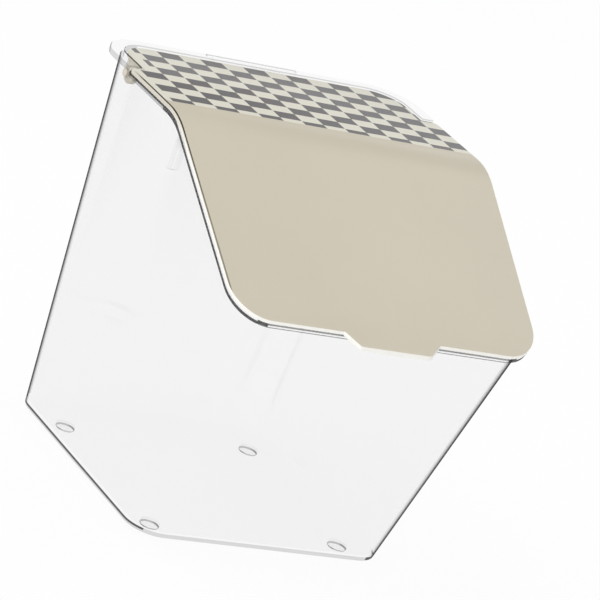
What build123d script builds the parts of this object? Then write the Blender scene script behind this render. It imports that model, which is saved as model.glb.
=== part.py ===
from build123d import *
import math
import os

# A clear bin with a flip lid, hung on a wall plate by two rails on its back.
# Millimetres. +X is to the right, +Z is up, and the front faces -Y.
# The origin is on the surface that the feet stand on, in the middle of the width and the depth.
# A depth is given as its distance from the wall that the pad is stuck to.

# Bin: outside sizes at the floor, and level with the lid's top
BIN_H = 159.6
FLOOR_W = 118.8
FLOOR_BACK = 10.0
FLOOR_FRONT = 136.5
MOUTH_W = 140.0
MOUTH_BACK = 7.1
MOUTH_FRONT = 182.8
REAR_CORNER_R = 15.5
FRONT_CORNER_R = 13.2
WALL = 1.3
FLOOR_T = 2.2
FLOOR_EDGE_R = 1.2
INNER_EDGE_R = 1.2

# Rim round the mouth: raised behind the lid's step, and a seat under the lid in front of it
RIM_SIDE = 4.9
RIM_BACK = 3.5
RIM_FRONT = 1.0
RIM_CORNER_R = 16.6
RIM_T = 2.0
RIM_RISE = 0.5
RIM_END_AT = 36.6
RIM_END_R = 1.0

# Lid
LID_T = 1.5
LID_SEAT_GAP = 0.05
SLANT_DEG = 28.8
BEND_AT = 84.3
BEND_R = 33.0
STRIP_SIDE_GAP = 1.1
STRIP_BACK_GAP = 1.9
STRIP_CORNER_R = 13.8
STEP_GAP = 1.4
STEP_CORNER_R = 3.0
TAB_ROOT_W = 45.0
TAB_TIP_W = 33.0
TAB_REACH = 5.4
TAB_R = 3.0

# Hinge: ears under the lid's strip, with stub pins that run in holes in the side walls
HINGE_AT = 26.7
HINGE_DROP = 6.0
EAR_R = 4.4
EAR_T = 2.2
EAR_GAP = 0.4
PIN_R = 1.9
PIN_FIT = 0.05
PIN_PROUD = 0.3
PIN_CHAMFER = 0.3
SKIRT_IN = 1.2
SKIRT_T = 1.2
SKIRT_DEPTH = 2.0

# Feet
FOOT_H = 2.2
FOOT_R = 4.1
FOOT_EDGE_R = 0.8
FOOT_SIDE_IN = 14.2
FOOT_BACK_IN = 25.2
FOOT_FRONT_IN = 15.5

# Rails on the back of the bin, and the wall plate and pad that they hang on
RAIL_W = 2.4
RAIL_L = 49.8
RAIL_INNER_W = 38.6
RAIL_BACK = 3.8
RAIL_LIP = 3.0
RAIL_LIP_T = 1.2
RAIL_END_RISE = 1.6
NOTCH_DEPTH = 1.8
NOTCH_MARGIN = 0.3
RIM_RECESS = 0.9
SLIDE_GAP = 0.3
HANG_GAP = 0.05
HEAD_T = 1.4
HEAD_H = 38.0
HEAD_CORNER_R = 2.0
PLATE_T = 2.0
PLATE_W = 40.0
PLATE_H = 42.0
PLATE_CORNER_R = 4.0
PLATE_EDGE_R = 0.5
PAD_T = 1.0
PAD_MARGIN = 1.5

FAR = 300.0
OVER = 1.0
SLANT = math.radians(SLANT_DEG)
TOP_Z = FOOT_H + BIN_H
SEAT = LID_T + LID_SEAT_GAP
STEP_AT = RIM_END_AT + STEP_GAP
HINGE_Z = TOP_Z - HINGE_DROP
STRIP_W = MOUTH_W - 2 * (WALL + STRIP_SIDE_GAP)
STRIP_BACK = MOUTH_BACK + WALL + STRIP_BACK_GAP
RIM_UNDER = TOP_Z - RIM_T
RIM_TOP = TOP_Z + RIM_RISE
SIDE_LEAN = (MOUTH_W - FLOOR_W) / 2 / BIN_H
BACK_LEAN = (FLOOR_BACK - MOUTH_BACK) / BIN_H
FRONT_LEAN = (MOUTH_FRONT - FLOOR_FRONT) / BIN_H
SLOPE = math.tan(SLANT)
LID_FRONT = (MOUTH_FRONT + RIM_FRONT + FRONT_LEAN * SLOPE * BEND_AT) / (1 + FRONT_LEAN * SLOPE)
DEPTH = LID_FRONT + TAB_REACH


def at(distance):
    """Y of a point at this distance from the wall"""
    return DEPTH / 2 - distance


def half_width(z, side=0.0):
    """half the bin's outside width at height z, grown by this amount"""
    return MOUTH_W / 2 - SIDE_LEAN * (TOP_Z - z) + side


def back_face(z):
    """distance from the wall to the bin's back at height z"""
    return MOUTH_BACK + BACK_LEAN * (TOP_Z - z)


def front_face(z):
    """distance from the wall to the bin's front at height z"""
    return MOUTH_FRONT - FRONT_LEAN * (TOP_Z - z)


def side_prism(face):
    """a face drawn as (Y, Z), made solid right across the width"""
    return extrude(Plane.YZ * face, FAR, both=True)


def tapered(low, high, side=0.0, back=0.0, front=0.0, front_r=FRONT_CORNER_R):
    """the bin's leaning walls and rounded corners as a solid between two heights, grown by these amounts"""
    left_right = Polyline(
        (-half_width(low, side), low),
        (half_width(low, side), low),
        (half_width(high, side), high),
        (-half_width(high, side), high),
        close=True,
    )
    back_front = Polyline(
        (at(back_face(low) - back), low),
        (at(front_face(low) + front), low),
        (at(front_face(high) + front), high),
        (at(back_face(high) - back), high),
        close=True,
    )
    solid = extrude(Plane.XZ * make_face(left_right), FAR, both=True) & side_prism(make_face(back_front))
    leaning = solid.edges().filter_by(lambda e: abs(e.tangent_at(0.5).Z) > 0.7).group_by(Axis.Y)
    solid = fillet(leaning[-1], REAR_CORNER_R + min(side, back))
    leaning = solid.edges().filter_by(lambda e: abs(e.tangent_at(0.5).Z) > 0.7).sort_by(Axis.Y)
    return fillet(leaning[:2], front_r)


def below_lid(drop):
    """all that lies under the lid's top face moved inward by this much"""
    bend = BEND_AT - drop * math.tan(SLANT / 2)
    high = TOP_Z - drop
    low = high - (FAR - bend) * SLOPE
    line = Polyline((at(-FAR), high), (at(bend), high), (at(FAR), low), (at(FAR), -FAR), (at(-FAR), -FAR), close=True)
    face = make_face(line)
    corner = face.vertices().sort_by_distance((at(bend), high, 0))[0]
    return side_prism(fillet(corner, BEND_R - drop))


def layer(upper, lower):
    """the layer between two depths under the lid's top face"""
    return below_lid(upper) - below_lid(lower)


def span(near, far, low=-FAR, high=FAR):
    """all that lies between two distances from the wall and two heights"""
    middle = Pos((at(near) + at(far)) / 2, (low + high) / 2)
    return side_prism(middle * Rectangle(far - near, high - low))


def hinge_rod(radius, inner, outer, side=1):
    """a rod on the hinge's axis, between two distances from the middle, on the right or the left"""
    middle = Pos(side * (inner + outer) / 2, at(HINGE_AT), HINGE_Z)
    return middle * Rot(0, 90, 0) * Cylinder(radius, outer - inner)


def both_sides(shape):
    return shape + mirror(shape, about=Plane.YZ)


def make_rail():
    """the right-hand rail: a web on the back wall, with a lip turned inward and a sloped end"""
    inner = RAIL_INNER_W / 2
    low = RIM_UNDER - RAIL_L
    height = RAIL_L + RIM_T / 2
    deep = FLOOR_BACK - RAIL_BACK
    corner = (Align.MIN, Align.MAX, Align.MIN)
    web = Pos(inner, at(RAIL_BACK), low) * Box(RAIL_W, deep, height, align=corner)
    lip_w = RAIL_LIP + RAIL_W / 2
    lip = Pos(inner - RAIL_LIP, at(RAIL_BACK), low) * Box(lip_w, RAIL_LIP_T, height, align=corner)
    under = Polyline((at(RAIL_BACK), low), (at(FLOOR_BACK), low), (at(FLOOR_BACK), low + RAIL_END_RISE), close=True)
    return web + lip - side_prism(make_face(under))


def flange_outline():
    """the outline that the rim, the seat and the wide part of the lid share, as a tapered solid"""
    return tapered(FOOT_H, TOP_Z + OVER, RIM_SIDE, RIM_BACK, RIM_FRONT, RIM_CORNER_R)


def ear_side():
    """distance from the middle to the outer face of an ear, just clear of the side wall"""
    return half_width(HINGE_Z - EAR_R) - WALL - EAR_GAP


def make_bin():
    """walls and floor, the seat and raised rim, the rails and the pin holes, in one moulding"""
    outer = tapered(FOOT_H, TOP_Z + OVER)
    outer = fillet(outer.faces().sort_by(Axis.Z)[0].edges(), FLOOR_EDGE_R)
    inner = tapered(FOOT_H + FLOOR_T, TOP_Z + OVER, -WALL, -WALL, -WALL, FRONT_CORNER_R - WALL)
    inner = fillet(inner.faces().sort_by(Axis.Z)[0].edges(), INNER_EDGE_R)
    grown = flange_outline()
    walls = outer & (below_lid(SEAT) + span(-FAR, RIM_END_AT, -FAR, RIM_TOP))
    seat = grown & layer(SEAT, SEAT + RIM_T) & span(RIM_END_AT, FAR)
    seat = fillet(step_edges(seat, RIM_END_AT), STEP_CORNER_R)
    rim = grown & span(-FAR, RIM_END_AT, RIM_UNDER, RIM_TOP)
    rim = fillet(step_edges(rim, RIM_END_AT), RIM_END_R)
    body = walls + seat + rim + both_sides(make_rail()) - inner
    rim_back = at(MOUTH_BACK - RIM_BACK)
    recess = Box(RAIL_INNER_W, RIM_RECESS, RIM_TOP - RIM_UNDER, align=(Align.CENTER, Align.MAX, Align.MIN))
    notch_w = RAIL_W + 2 * NOTCH_MARGIN
    notch_h = RIM_TOP - RIM_UNDER + NOTCH_MARGIN
    notch = Box(notch_w, NOTCH_DEPTH, notch_h, align=(Align.MIN, Align.MAX, Align.MIN))
    body -= Pos(0, rim_back, RIM_UNDER) * recess
    body -= both_sides(Pos(RAIL_INNER_W / 2 - NOTCH_MARGIN, rim_back, RIM_UNDER - NOTCH_MARGIN) * notch)
    for side in (1, -1):
        body -= hinge_rod(PIN_R + PIN_FIT, ear_side(), MOUTH_W / 2 + OVER, side)
    return body


def step_edges(shape, distance):
    """the short upright edges at the outer corners of a face that crosses the width at this distance"""
    near = shape.edges().filter_by(lambda e: abs(e.center().Y - at(distance)) < OVER)
    return near.filter_by(lambda e: abs(e.center().X) > MOUTH_W / 2 and abs(e.tangent_at(0.5).Z) > 0.9)


def strip_outline(inset=0.0):
    """plan of the lid's rear strip, drawn in from its sides and back by this much"""
    rear = STRIP_BACK + inset
    ahead = STEP_AT + STRIP_CORNER_R
    plan = Pos(0, at((rear + ahead) / 2)) * Rectangle(STRIP_W - 2 * inset, ahead - rear)
    return fillet(plan.vertices().group_by(Axis.Y)[-1], STRIP_CORNER_R - inset)


def tab_outline():
    """plan of the finger tab at the middle of the front edge"""
    root = at(LID_FRONT - TAB_R)
    line = Polyline(
        (-TAB_ROOT_W / 2, root),
        (-TAB_ROOT_W / 2, at(LID_FRONT)),
        (-TAB_TIP_W / 2, at(DEPTH)),
        (TAB_TIP_W / 2, at(DEPTH)),
        (TAB_ROOT_W / 2, at(LID_FRONT)),
        (TAB_ROOT_W / 2, root),
        close=True,
    )
    face = make_face(line)
    return fillet(face.vertices().group_by(Axis.Y)[0], TAB_R)


def make_ear():
    """the right-hand ear under the strip, with its stub pin"""
    side = ear_side()
    web = Box(EAR_T, 2 * EAR_R, HINGE_DROP - LID_T / 2, align=(Align.MAX, Align.CENTER, Align.MIN))
    ear = Pos(side, at(HINGE_AT), HINGE_Z) * web + hinge_rod(EAR_R, side - EAR_T, side)
    pin = hinge_rod(PIN_R, side - EAR_T / 2, half_width(HINGE_Z) + PIN_PROUD)
    pin = chamfer(pin.edges().sort_by(Axis.X)[-1], PIN_CHAMFER)
    return ear + pin


def make_lid():
    """the bent lid, with its rear strip, finger tab, skirt and hinge ears"""
    wide = flange_outline() & layer(0, LID_T) & span(STEP_AT, FAR)
    wide = fillet(step_edges(wide, STEP_AT), STEP_CORNER_R)
    strip = Pos(0, 0, TOP_Z - LID_T) * extrude(strip_outline(), LID_T)
    tab = extrude(tab_outline(), FAR) & layer(0, LID_T)
    plate = wide + strip + tab
    skirt_low = TOP_Z - LID_T - SKIRT_DEPTH
    ring = strip_outline(SKIRT_IN) - strip_outline(SKIRT_IN + SKIRT_T)
    skirt = extrude(ring, SKIRT_DEPTH + LID_T / 2)
    skirt = Pos(0, 0, skirt_low) * skirt & span(-FAR, HINGE_AT)
    return plate + skirt + both_sides(make_ear())


def make_foot(side, distance):
    """a round bumper under the floor, centred at this distance from the wall"""
    foot = Cylinder(FOOT_R, FOOT_H, align=(Align.CENTER, Align.CENTER, Align.MIN))
    foot = fillet(foot.edges().sort_by(Axis.Z)[0], FOOT_EDGE_R)
    return Pos(side * (FLOOR_W / 2 - FOOT_SIDE_IN), at(distance), 0) * foot


def upright(width, height, top, near, thickness, corner_r):
    """a flat plate parallel to the wall, with its top edge and its wall-side face at these places"""
    face = Plane.XZ * Pos(0, top - height / 2) * RectangleRounded(width, height, corner_r)
    return Pos(0, at(near), 0) * extrude(face, thickness)


def make_plate():
    """the wall plate: a backing, with a head on a neck that slides between the rails"""
    top = RIM_UNDER - HANG_GAP
    plate = upright(PLATE_W, PLATE_H, top, PAD_T, PLATE_T, PLATE_CORNER_R)
    rim_edges = plate.faces().sort_by(Axis.Y)[0].edges()
    plate = fillet(rim_edges, PLATE_EDGE_R)
    head_w = RAIL_INNER_W - 2 * SLIDE_GAP
    head_at = RAIL_BACK + RAIL_LIP_T + SLIDE_GAP
    neck_at = PAD_T + PLATE_T / 2
    head = upright(head_w, HEAD_H, top, head_at, HEAD_T, HEAD_CORNER_R)
    neck = upright(head_w - 2 * RAIL_LIP, HEAD_H, top, neck_at, head_at + HEAD_T / 2 - neck_at, HEAD_CORNER_R)
    return plate + neck + head


def make_pad():
    top = RIM_UNDER - HANG_GAP - PAD_MARGIN
    margin = 2 * PAD_MARGIN
    return upright(PLATE_W - margin, PLATE_H - margin, top, 0, PAD_T, PLATE_CORNER_R - PAD_MARGIN)


parts = {
    "bin_body": make_bin(),
    "lid": make_lid(),
    "wall_plate": make_plate(),
    "adhesive_pad": make_pad(),
}
for end, distance in (("rear", FLOOR_BACK + FOOT_BACK_IN), ("front", FLOOR_FRONT - FOOT_FRONT_IN)):
    for name, side in (("left", -1), ("right", 1)):
        parts[f"foot_{end}_{name}"] = make_foot(side, distance)

os.makedirs("parts", exist_ok=True)
for name, part in parts.items():
    export_step(part, f"parts/{name}.step")
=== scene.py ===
"""A clear tapered bin with a cream flip lid, checked in grey behind the bend, on a white studio floor."""
import math

import bmesh
import bpy
from mathutils import Matrix, Vector


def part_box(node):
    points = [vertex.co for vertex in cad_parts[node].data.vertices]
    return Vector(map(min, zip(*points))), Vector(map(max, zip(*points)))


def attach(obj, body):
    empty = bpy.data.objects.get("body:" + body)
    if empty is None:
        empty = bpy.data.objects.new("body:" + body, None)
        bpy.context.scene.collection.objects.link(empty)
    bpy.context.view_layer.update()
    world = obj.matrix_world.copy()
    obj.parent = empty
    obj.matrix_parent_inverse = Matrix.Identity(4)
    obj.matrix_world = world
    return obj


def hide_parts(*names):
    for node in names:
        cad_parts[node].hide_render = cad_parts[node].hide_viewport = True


MM = 0.001
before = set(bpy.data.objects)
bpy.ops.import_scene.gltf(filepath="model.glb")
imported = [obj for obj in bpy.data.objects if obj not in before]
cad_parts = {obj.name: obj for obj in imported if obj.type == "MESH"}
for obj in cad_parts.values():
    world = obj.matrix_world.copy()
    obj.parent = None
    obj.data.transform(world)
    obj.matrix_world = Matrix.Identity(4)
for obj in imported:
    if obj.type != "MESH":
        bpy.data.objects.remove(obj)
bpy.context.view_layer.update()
bin_low, bin_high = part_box("bin_body")
TOP_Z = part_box("lid")[1].z
WALL_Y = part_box("adhesive_pad")[1].y
BIN_MID_Y = (bin_low.y + bin_high.y) / 2

# Camera, fitted to the photograph: metres from the middle of the wall plane at the lid's top
CAMERA_AT = Vector((-0.9396, -1.4928, 0.4740))
CAMERA_RIGHT = Vector((0.8367, -0.4366, 0.3306))
CAMERA_UP = Vector((-0.1278, 0.4312, 0.8931))
FRAME_PX = 600
FOCAL_PX = 4365
SENSOR_MM = 36

# The bin's half width at the lid's top and at the floor, and the lid's half width
SIDE_TOP = 70.0 * MM
SIDE_FLOOR = 59.4 * MM
SIDE_LEAN = (SIDE_TOP - SIDE_FLOOR) / (TOP_Z - bin_low.z)
LID_SIDE = 74.9 * MM

# The clear rim's end, then distances from the wall: the step in the lid's sides, and its bend
RIM_END_Y = WALL_Y - 36.7 * MM
STEP_AT = 38.0 * MM
STEP_BLUR = 0.1 * MM
BEND_AT = 84.3 * MM
BEND_FROM = BEND_AT - 12 * MM
SLOPE = math.tan(math.radians(28.8))

# Checks on the lid: one check's width and depth, and where the pattern begins and ends
CHECK_W = 10.5 * MM
CHECK_D = 7.04 * MM
CHECK_COLUMN_AT = 2.70
CHECK_LEFT = -70.35 * MM
CHECK_LEFT_STRIP = -62.7 * MM
CHECK_ROWS_FROM = 17.6 * MM
CHECK_BACK = 10.9 * MM
CHECK_FRONT = 70.6 * MM
CHECK_UP = 0.5

# The painted dark reflection on the lid's left side: how far in from the side it starts and how far in it
# ends, on the flat and on the slope, and the distances from the wall over which it begins, narrows and fades
REFLECTION_LINE_FROM = 0.25 * MM
REFLECTION_LINE_TO_FLAT = 1.35 * MM
REFLECTION_LINE_TO_SLOPE = 0.95 * MM
REFLECTION_LINE_BEGINS = (40 * MM, 50 * MM)
REFLECTION_LINE_NARROWS = (70 * MM, 95 * MM)
REFLECTION_LINE_FADES = (88 * MM, 130 * MM)
REFLECTION_LINE_FADED = 0.6
REFLECTION_LINE_UP = 0.1

# The painted highlight on the lid's sides: the upward turns over which it fades into its top and its
# underside, and the distances from the wall over which it grows from faint to full
EDGE_TOP = (0.25, 0.6)
EDGE_UNDER = (-0.8, -0.5)
EDGE_GROWS = (78 * MM, 100 * MM)
EDGE_BEHIND = 0.2

# Rounded arrises
ROUND_LID = 0.7 * MM
ROUND_BIN = 0.5 * MM
ROUND_FOOT = 0.15 * MM
ARRIS_STEPS = 3
FOOT_STEPS = 2
SHARP = math.radians(28.0)
SAME_PLANE = math.radians(0.2)
SAME_POINT = 0.002 * MM

# Where shade lines are painted on the bin's thick edges: heights at the rim and the floor, depths under the
# lid's top at its seat, how far the seat stands out from the wall, and how far from the wall plane the rails
# reach
RIM_BAND = 2.1 * MM
INNER_RIM_CUT = TOP_Z - 0.1 * MM
RIM_CORNER = 50 * MM
FLOOR_LINE = bin_low.z + 1.3 * MM
FLOOR_TOP = bin_low.z + 2.3 * MM
SEAT_DEEP = 4.6 * MM
SEAT_LINE = 2.5 * MM
FRONT_LINE = 2.75 * MM
FRONT_LOW_LINE = 3.6 * MM
PROUD = 2.0 * MM
RAIL_ZONE = 6.9 * MM
FOOT_RING = 0.8 * MM

# How much of a face's normal lies along an axis where the face counts as level, square or turned
LEVEL = 0.85
SQUARE = 0.99
LOW_TURN = 0.2
BEVEL_TURN = 0.2
CORNER_DARK = 0.35
CORNER_THIN = 0.12
FRONT_CORNER_TURN = 0.3
FOOT_SIDE = 0.7

# Material slots on the bin, and on a foot; the greyer and darker clear slots paint shade along edges
OUTSIDE, INSIDE, DARK, PALE, GREY, DIM = range(6)
SOFT, SOFT_EDGE, SOFT_SIDE = range(3)

# Clear plastic: from which turn away from the eye it darkens, its index, and its faint unevenness
TURN_FROM = 0.56
TURN_TO = 0.9
PLASTIC_IOR = 1.49
SMEAR_SCALE = 60
SMEAR = 0.5
RIPPLE_SCALE = 12
RIPPLE_DETAIL = 1
RIPPLE_STRENGTH = 0.05
RIPPLE_HEIGHT = 0.2 * MM

# Cream plastic: faint clouds in its colour, and a fine satin grain
CLOUD_SCALE = 25
CLOUD = (0.97, 1.03)
SATIN_SCALE = 400
SATIN = (0.34, 0.42)
GRAIN_SCALE = 3000
GRAIN_DETAIL = 2
GRAIN_STRENGTH = 0.08
GRAIN_HEIGHT = 0.05 * MM

# Studio: the mirrored sky dims between two heights, the floor glows where it is seen or mirrored, and a
# ray may pass this many clear layers. Each lamp has a place, a width, a power, and may be mirrored
SKY_HEIGHTS = (0.20, 0.45)
SKY_LOW = 1.0
SKY_HIGH = 0.25
AMBIENT = 0.62
FLOOR_REACH = 12
FLOOR_PAINT = 0.92
FLOOR_GLOW = 0.94
CLEAR_LAYERS = 40
LAMPS = (
    ("key", (-0.8, 0.15, 1.6), 1.2, 10, True),
    ("fill", (1.1, 0.1, 1.1), 1.2, 4, True),
    ("low", (-1.15, -1.15, 0.08), 0.8, 9, False),
)


def srgb(red, green, blue):
    """a colour given on the screen's 0 to 255 scale, as linear light"""
    def linear(value):
        share = value / 255
        return share / 12.92 if share <= 0.04045 else ((share + 0.055) / 1.055) ** 2.4
    return (linear(red), linear(green), linear(blue), 1.0)


WHITE = (1, 1, 1, 1)
CREAM = srgb(203, 195, 176)
CHECK_DARK = srgb(98, 95, 95)
CHECK_LIGHT = srgb(222, 219, 204)
# the colour of the painted dark reflection along the lid's left side
REFLECTION_LINE_COLOUR = srgb(34, 29, 24)
# the colour of the painted highlight on the lid's sides
EDGE_HIGHLIGHT = srgb(251, 249, 243)


class Nodes:
    """a material's or a world's node tree, with short ways to add and join nodes"""

    def __init__(self, owner):
        owner.use_nodes = True
        self.tree = owner.node_tree
        self.tree.nodes.clear()

    def add(self, kind, **values):
        node = self.tree.nodes.new(kind)
        for name, value in values.items():
            setattr(node, name, value)
        return node

    def link(self, out, into):
        self.tree.links.new(out, into)

    def place(self):
        return self.add("ShaderNodeTexCoord").outputs["Object"]

    def split(self, vector):
        node = self.add("ShaderNodeSeparateXYZ")
        self.link(vector, node.inputs[0])
        return node.outputs

    def math(self, operation, first, second):
        node = self.add("ShaderNodeMath", operation=operation)
        for socket, value in zip(node.inputs, (first, second)):
            if isinstance(value, (int, float)):
                socket.default_value = value
            else:
                self.link(value, socket)
        return node.outputs[0]

    def floor(self, value):
        node = self.add("ShaderNodeMath", operation="FLOOR")
        self.link(value, node.inputs[0])
        return node.outputs[0]

    def between(self, value, low, high):
        """1 where a value lies between two others"""
        above = self.math("GREATER_THAN", value, low)
        return self.math("MULTIPLY", above, self.math("LESS_THAN", value, high))

    def rise(self, value, ends, start, end, curve="LINEAR"):
        """start below the first of two ends, end above the second, and this curve between"""
        node = self.add("ShaderNodeMapRange", interpolation_type=curve)
        self.link(value, node.inputs["Value"])
        numbers = (*ends, start, end)
        for name, number in zip(("From Min", "From Max", "To Min", "To Max"), numbers):
            node.inputs[name].default_value = number
        return node.outputs[0]

    def mix_colour(self, factor, first, second):
        node = self.add("ShaderNodeMix", data_type="RGBA")
        for index, value in ((0, factor), (6, first), (7, second)):
            if isinstance(value, tuple):
                node.inputs[index].default_value = value
            else:
                self.link(value, node.inputs[index])
        return node.outputs[2]

    def noise(self, coordinates, scale, detail=3):
        node = self.add("ShaderNodeTexNoise")
        node.inputs["Scale"].default_value = scale
        node.inputs["Detail"].default_value = detail
        self.link(coordinates, node.inputs["Vector"])
        return node.outputs["Fac"]

    def bump(self, height, strength, distance):
        node = self.add("ShaderNodeBump")
        node.inputs["Strength"].default_value = strength
        node.inputs["Distance"].default_value = distance
        self.link(height, node.inputs["Height"])
        return node.outputs["Normal"]

    def mix_shaders(self, factor, first, second):
        node = self.add("ShaderNodeMixShader")
        for socket, value in zip(node.inputs, (factor, first, second)):
            self.link(value, socket)
        return node.outputs[0]

    def finish(self, shader, kind="ShaderNodeOutputMaterial"):
        self.link(shader, self.add(kind).inputs["Surface"])

    def mirrored_rays(self, paths):
        """1 for rays that glossy or clear surfaces send on"""
        return self.math("MAXIMUM", paths.outputs["Is Glossy Ray"], paths.outputs["Is Transmission Ray"])


def clear_plastic(name, passes, gloss, turned=None, roughness=0.03):
    """a clear moulding that passes this share of the light, and less where it turns away from the eye"""
    material = bpy.data.materials.new(name)
    n = Nodes(material)
    place = n.place()
    clear = n.add("ShaderNodeBsdfTransparent")
    clear.inputs["Color"].default_value = (passes, passes, passes, 1)
    if turned is not None:
        facing = n.add("ShaderNodeLayerWeight").outputs["Facing"]
        n.link(n.rise(facing, (TURN_FROM, TURN_TO), passes, turned, "SMOOTHSTEP"), clear.inputs["Color"])
    shine = n.add("ShaderNodeBsdfGlossy")
    smear = n.rise(n.noise(place, SMEAR_SCALE), (0, 1), roughness * (1 - SMEAR), roughness * (1 + SMEAR))
    n.link(smear, shine.inputs["Roughness"])
    ripple = n.noise(place, RIPPLE_SCALE, RIPPLE_DETAIL)
    n.link(n.bump(ripple, RIPPLE_STRENGTH, RIPPLE_HEIGHT), shine.inputs["Normal"])
    fresnel = n.add("ShaderNodeFresnel")
    fresnel.inputs["IOR"].default_value = PLASTIC_IOR
    share = n.math("MINIMUM", fresnel.outputs[0], gloss)
    n.finish(n.mix_shaders(share, clear.outputs[0], shine.outputs[0]))
    return material


def checked_masks(n, x, distance, up):
    """1 over the pale band on the lid's top, and 1 where a dark check is printed on it"""
    column = n.floor(n.math("ADD", n.math("DIVIDE", x, CHECK_W), CHECK_COLUMN_AT))
    row = n.floor(n.math("DIVIDE", n.math("SUBTRACT", distance, CHECK_ROWS_FROM), CHECK_D))
    dark = n.math("PINGPONG", n.math("ADD", column, row), 1.0)
    left = n.rise(distance, (STEP_AT, STEP_AT + STEP_BLUR), CHECK_LEFT_STRIP, CHECK_LEFT)
    dark = n.math("MULTIPLY", dark, n.math("GREATER_THAN", x, left))
    dark = n.math("MULTIPLY", dark, n.math("GREATER_THAN", distance, CHECK_BACK))
    on_top = n.math("GREATER_THAN", up, CHECK_UP)
    band = n.math("MULTIPLY", n.math("LESS_THAN", distance, CHECK_FRONT), on_top)
    return band, dark


def dark_reflection_mask(n, x, distance, height, up):
    """a painted dark reflection: the fine dark line where the lid's top turns down at its left side, strongest
    at the bend
    """
    lean = n.math("MULTIPLY", n.math("SUBTRACT", TOP_Z, height), SIDE_LEAN)
    inward = n.math("ADD", n.math("SUBTRACT", LID_SIDE, lean), x)
    line = n.between(inward, REFLECTION_LINE_FROM, n.rise(distance, REFLECTION_LINE_NARROWS, REFLECTION_LINE_TO_FLAT, REFLECTION_LINE_TO_SLOPE))
    line = n.math("MULTIPLY", line, n.math("GREATER_THAN", up, REFLECTION_LINE_UP))
    begins = n.rise(distance, REFLECTION_LINE_BEGINS, 0.0, 1.0)
    fades = n.rise(distance, REFLECTION_LINE_FADES, 1.0, REFLECTION_LINE_FADED)
    return n.math("MULTIPLY", line, n.math("MINIMUM", begins, fades))


def edge_highlight_mask(n, distance, up):
    """the lid's sides, painted paler as a highlight, above all in front of the bend"""
    side = n.math("MULTIPLY", n.rise(up, EDGE_TOP, 1.0, 0.0), n.rise(up, EDGE_UNDER, 0.0, 1.0))
    return n.math("MULTIPLY", side, n.rise(distance, EDGE_GROWS, EDGE_BEHIND, 1.0))


def cream_plastic():
    """the lid's satin cream moulding, with a pale band behind the bend that is printed with grey checks"""
    material = bpy.data.materials.new("cream_lid")
    n = Nodes(material)
    place = n.place()
    x, y, height = n.split(place)
    distance = n.math("SUBTRACT", WALL_Y, y)
    up = n.split(n.add("ShaderNodeTexCoord").outputs["Normal"])[2]
    band, dark = checked_masks(n, x, distance, up)
    cloudy = n.add("ShaderNodeVectorMath", operation="SCALE")
    cloudy.inputs[0].default_value = CREAM[:3]
    n.link(n.rise(n.noise(place, CLOUD_SCALE), (0, 1), *CLOUD), cloudy.inputs["Scale"])
    colour = n.mix_colour(band, cloudy.outputs[0], n.mix_colour(dark, CHECK_LIGHT, CHECK_DARK))
    # painted highlight: the lid's sides turn paler
    colour = n.mix_colour(edge_highlight_mask(n, distance, up), colour, EDGE_HIGHLIGHT)
    # painted dark reflection: a fine dark line along the lid's left side
    colour = n.mix_colour(dark_reflection_mask(n, x, distance, height, up), colour, REFLECTION_LINE_COLOUR)
    plastic = n.add("ShaderNodeBsdfPrincipled")
    n.link(colour, plastic.inputs["Base Color"])
    n.link(n.rise(n.noise(place, SATIN_SCALE), (0, 1), *SATIN), plastic.inputs["Roughness"])
    grain = n.noise(place, GRAIN_SCALE, GRAIN_DETAIL)
    n.link(n.bump(grain, GRAIN_STRENGTH, GRAIN_HEIGHT), plastic.inputs["Normal"])
    n.finish(plastic.outputs[0])
    return material


def rounded_copy(node, name, width, steps, cuts=()):
    """a copy of a CAD node's mesh, joined up, with sharp edges rounded and faces divided along these planes"""
    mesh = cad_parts[node].data.copy()
    shape = bmesh.new()
    shape.from_mesh(mesh)
    bmesh.ops.remove_doubles(shape, verts=shape.verts, dist=SAME_POINT)
    bmesh.ops.dissolve_limit(
        shape, angle_limit=SAME_PLANE, verts=shape.verts, edges=shape.edges, use_dissolve_boundaries=False
    )
    sharp = [e for e in shape.edges if len(e.link_faces) == 2 and e.calc_face_angle() > SHARP]
    bmesh.ops.bevel(
        shape, geom=sharp, offset=width, offset_type="OFFSET", segments=steps, profile=0.5,
        affect="EDGES", clamp_overlap=True, material=-1
    )
    for place, across in cuts:
        everything = [*shape.verts, *shape.edges, *shape.faces]
        bmesh.ops.bisect_plane(shape, geom=everything, plane_co=place, plane_no=across)
    bmesh.ops.recalc_face_normals(shape, faces=shape.faces)
    for face in shape.faces:
        face.smooth = True
    shape.to_mesh(mesh)
    shape.free()
    mesh.set_sharp_from_angle(angle=SHARP)
    mesh.name = name
    piece = bpy.data.objects.new(name, mesh)
    bpy.context.scene.collection.objects.link(piece)
    return piece


def finish_piece(piece, node, body, slot, *materials):
    """the piece takes the CAD node's place, rides on its body and gets its materials"""
    piece.data.materials.clear()
    for material in materials:
        piece.data.materials.append(material)
    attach(piece, body)
    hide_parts(node)


def sort_faces(piece, choose):
    """gives each face the material slot that this function picks from its middle and its normal"""
    for face in piece.data.polygons:
        face.material_index = choose(face.center, face.normal)


def level_cut(height):
    return (0, 0, height), (0, 0, 1)


def upright_cut(distance):
    """a plane across the bin, at this distance from the wall"""
    return (0, WALL_Y - distance, 0), (0, 1, 0)


def slope_cut(depth):
    """a plane at this depth under the lid's sloping top"""
    return (0, WALL_Y - BEND_AT, TOP_Z - depth), (0, -SLOPE, 1)


def wall_side(height):
    """half the bin's outside width at this height"""
    return SIDE_TOP - SIDE_LEAN * (TOP_Z - height)


def lid_top(y):
    """the height of the lid's top face at this place, flat behind the bend and sloping in front"""
    return TOP_Z - max(0, WALL_Y - y - BEND_AT) * SLOPE


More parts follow.
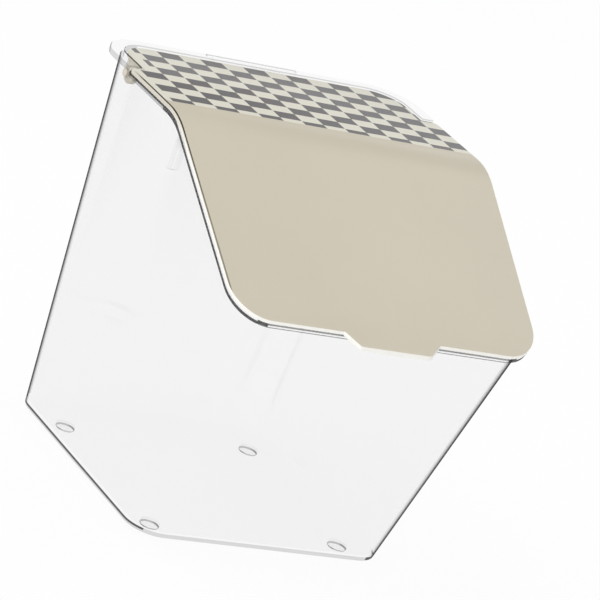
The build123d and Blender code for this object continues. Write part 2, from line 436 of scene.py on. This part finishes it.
def bin_face(middle, normal):
    """the look of one face of the bin, by where it is and which way it faces"""
    outward = normal.x * middle.x + normal.y * (middle.y - BIN_MID_Y) > 0
    level = abs(normal.z) > LEVEL
    edge = outward and not level
    depth = lid_top(middle.y) - middle.z
    if edge and middle.z < FLOOR_TOP:
        return floor_edge(middle, normal)
    seat = depth < SEAT_DEEP or abs(middle.x) - wall_side(middle.z) > PROUD
    if edge and seat and middle.y < RIM_END_Y:
        return seat_edge(middle, normal, depth)
    if not level and middle.z > TOP_Z - RIM_BAND and middle.y > RIM_END_Y:
        return rim_outside(middle, normal) if outward else rim_inside(middle, normal)
    if WALL_Y - middle.y < RAIL_ZONE and middle.z < TOP_Z - RIM_BAND:
        return rail_edge(normal)
    return OUTSIDE if edge else INSIDE


def floor_edge(middle, normal):
    """the slab of the floor from outside, in painted shade: a dark line over a pale round edge on the left,
    and pale in front
    """
    under = normal.z < -LOW_TURN
    if middle.x < 0 and abs(normal.x) > abs(normal.y):
        return DARK if middle.z > FLOOR_LINE else PALE
    if middle.y < BIN_MID_Y and normal.x > FRONT_CORNER_TURN:
        if normal.z > -LOW_TURN:
            return OUTSIDE
        return DARK if normal.y < -LOW_TURN else INSIDE
    if normal.y < -LOW_TURN and (under or middle.z > FLOOR_LINE):
        return PALE
    return INSIDE


def seat_edge(middle, normal, depth):
    """the bin's flange under the lid: a painted dark shade line in the gap under the lid, that thins out round
    the front corners
    """
    if middle.y > WALL_Y - BEND_AT:
        return DARK if depth < SEAT_LINE or middle.y < WALL_Y - BEND_FROM else GREY
    if abs(normal.x) > CORNER_DARK:
        return INSIDE if depth < SEAT_LINE else DARK
    if abs(normal.x) > CORNER_THIN:
        return DARK if depth < FRONT_LOW_LINE else DIM
    return INSIDE if FRONT_LINE < depth < FRONT_LOW_LINE else DIM


def on_left_arm(middle, normal):
    return middle.x < -SIDE_FLOOR and abs(normal.x) > abs(normal.y)


def rim_outside(middle, normal):
    """the U-shaped rim from outside, in painted shade: pale, with darker arrises and a grey corner on its left
    arm
    """
    left = on_left_arm(middle, normal)
    if abs(normal.z) >= LOW_TURN:
        return DARK if left else PALE
    if left:
        return GREY if normal.y > LOW_TURN else PALE
    return INSIDE


def rim_inside(middle, normal):
    """the rim's inner side, in painted shade: its upper arris, and a pale rear left corner"""
    if middle.z > INNER_RIM_CUT:
        return DARK if on_left_arm(middle, normal) else PALE
    corner = middle.x < -RIM_CORNER and min(abs(normal.x), abs(normal.y)) > LOW_TURN
    return PALE if corner else INSIDE


def rail_edge(normal):
    """the rails on the bin's back, in painted shade: dim arrises on their right, and pale lower ends"""
    if BEVEL_TURN < normal.x < SQUARE:
        return DIM
    return PALE if BEVEL_TURN < -normal.z < SQUARE else INSIDE


def foot_face(middle, normal):
    """a foot is clear, but for its rounded lower edge, painted darker as shade and darkest, as painted dark
    glints, where it faces sideways
    """
    if middle.z > FOOT_RING or abs(normal.z) > LEVEL:
        return SOFT
    return SOFT_SIDE if abs(normal.x) > FOOT_SIDE else SOFT_EDGE


def make_bin(inside):
    looks = (
        clear_plastic("clear_outside", passes=0.983, gloss=0.06, turned=0.02),
        inside,
        # painted shade: the darker and greyer clears draw shade lines along the bin's edges
        clear_plastic("clear_dark_edge", passes=0.09, gloss=0.05),
        clear_plastic("clear_pale_edge", passes=0.72, gloss=0.06),
        clear_plastic("clear_grey_edge", passes=0.58, gloss=0.06),
        clear_plastic("clear_dim_edge", passes=0.3, gloss=0.06),
    )
    cuts = [level_cut(height) for height in (FLOOR_LINE, FLOOR_TOP, TOP_Z - SEAT_LINE, INNER_RIM_CUT)]
    cuts += [slope_cut(depth) for depth in (SEAT_LINE, FRONT_LINE, FRONT_LOW_LINE)]
    cuts += [upright_cut(distance) for distance in (BEND_FROM, BEND_AT)]
    piece = rounded_copy("bin_body", "bin_moulding", ROUND_BIN, ARRIS_STEPS, cuts)
    finish_piece(piece, "bin_body", "bin", "clear_plastic", *looks)
    sort_faces(piece, bin_face)


def make_lid():
    piece = rounded_copy("lid", "lid_moulding", ROUND_LID, ARRIS_STEPS)
    finish_piece(piece, "lid", "lid", "cream_plastic", cream_plastic())


def make_feet():
    looks = (
        clear_plastic("clear_foot", passes=0.98, gloss=0.04, roughness=0.12),
        # painted shade and painted dark glints on the feet's lower edges
        clear_plastic("clear_foot_edge", passes=0.55, gloss=0.1, turned=0.25, roughness=0.12),
        clear_plastic("clear_foot_side", passes=0.25, gloss=0.1, turned=0.15, roughness=0.12),
    )
    for corner in ("front_left", "front_right", "rear_left", "rear_right"):
        node = f"foot_{corner}"
        piece = rounded_copy(node, f"bumper_{corner}", ROUND_FOOT, FOOT_STEPS, [level_cut(FOOT_RING)])
        finish_piece(piece, node, "bin", "clear_rubber", *looks)
        sort_faces(piece, foot_face)


def give(node, material):
    """a CAD node keeps its own mesh and gets a better finish"""
    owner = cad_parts[node]
    owner.data.materials.clear()
    owner.data.materials.append(material)


def make_camera():
    data = bpy.data.cameras.new("camera")
    data.sensor_fit = "HORIZONTAL"
    data.sensor_width = SENSOR_MM
    data.lens = FOCAL_PX / FRAME_PX * SENSOR_MM
    camera = bpy.data.objects.new("camera", data)
    bpy.context.scene.collection.objects.link(camera)
    right = CAMERA_RIGHT.normalized()
    back = right.cross(CAMERA_UP).normalized()
    up = back.cross(right)
    turn = Matrix((right, up, back)).transposed().to_4x4()
    place = Vector((0, WALL_Y, TOP_Z)) + CAMERA_AT
    camera.matrix_world = Matrix.Translation(place) @ turn
    bpy.context.scene.camera = camera


def make_lamp(name, place, size, power, mirrored):
    """a round soft lamp that points at the middle of the floor under the bin"""
    data = bpy.data.lights.new(name, "AREA")
    data.shape = "DISK"
    data.size = size
    data.energy = power
    lamp = bpy.data.objects.new(name, data)
    lamp.location = place
    lamp.rotation_mode = "QUATERNION"
    lamp.rotation_quaternion = (-Vector(place)).to_track_quat("-Z", "Y")
    lamp.visible_glossy = mirrored
    bpy.context.scene.collection.objects.link(lamp)


def make_world():
    """even pale light; what is mirrored is white low down and dim overhead, and the camera sees white"""
    world = bpy.data.worlds.new("studio")
    bpy.context.scene.world = world
    n = Nodes(world)
    paths = n.add("ShaderNodeLightPath")
    height = n.split(n.add("ShaderNodeTexCoord").outputs["Generated"])[2]
    mirrored = n.mirrored_rays(paths)
    ambient = n.math("MULTIPLY", n.math("SUBTRACT", 1.0, mirrored), AMBIENT)
    sky = n.math("MULTIPLY", mirrored, n.rise(height, SKY_HEIGHTS, SKY_LOW, SKY_HIGH, "SMOOTHSTEP"))
    strength = n.math("MAXIMUM", n.math("ADD", ambient, sky), paths.outputs["Is Camera Ray"])
    background = n.add("ShaderNodeBackground")
    background.inputs["Color"].default_value = WHITE
    n.link(strength, background.inputs["Strength"])
    n.finish(background.outputs[0], "ShaderNodeOutputWorld")


def white_paint():
    """a white floor's paint, which still takes a faint shadow"""
    material = bpy.data.materials.new("white_floor")
    n = Nodes(material)
    paths = n.add("ShaderNodeLightPath")
    seen = n.math("MAXIMUM", n.mirrored_rays(paths), paths.outputs["Is Camera Ray"])
    diffuse = n.add("ShaderNodeBsdfDiffuse")
    diffuse.inputs["Color"].default_value = (FLOOR_PAINT, FLOOR_PAINT, FLOOR_PAINT, 1)
    glow = n.add("ShaderNodeEmission")
    glow.inputs["Color"].default_value = WHITE
    share = n.math("MULTIPLY", seen, FLOOR_GLOW)
    n.finish(n.mix_shaders(share, diffuse.outputs[0], glow.outputs[0]))
    return material


def make_floor():
    shape = bmesh.new()
    bmesh.ops.create_grid(shape, x_segments=1, y_segments=1, size=FLOOR_REACH)
    mesh = bpy.data.meshes.new("floor")
    shape.to_mesh(mesh)
    shape.free()
    mesh.materials.append(white_paint())
    floor = bpy.data.objects.new("floor", mesh)
    bpy.context.scene.collection.objects.link(floor)


clear_inside = clear_plastic("clear_inside", passes=0.98, gloss=0.012)
make_bin(clear_inside)
make_lid()
make_feet()
give("wall_plate", clear_inside)
give("adhesive_pad", clear_plastic("gel_pad", passes=0.96, gloss=0.04, roughness=0.3))

make_camera()
make_world()
make_floor()
for lamp in LAMPS:
    make_lamp(*lamp)

bpy.context.scene.view_settings.view_transform = "Standard"
bpy.context.scene.cycles.transparent_max_bounces = CLEAR_LAYERS
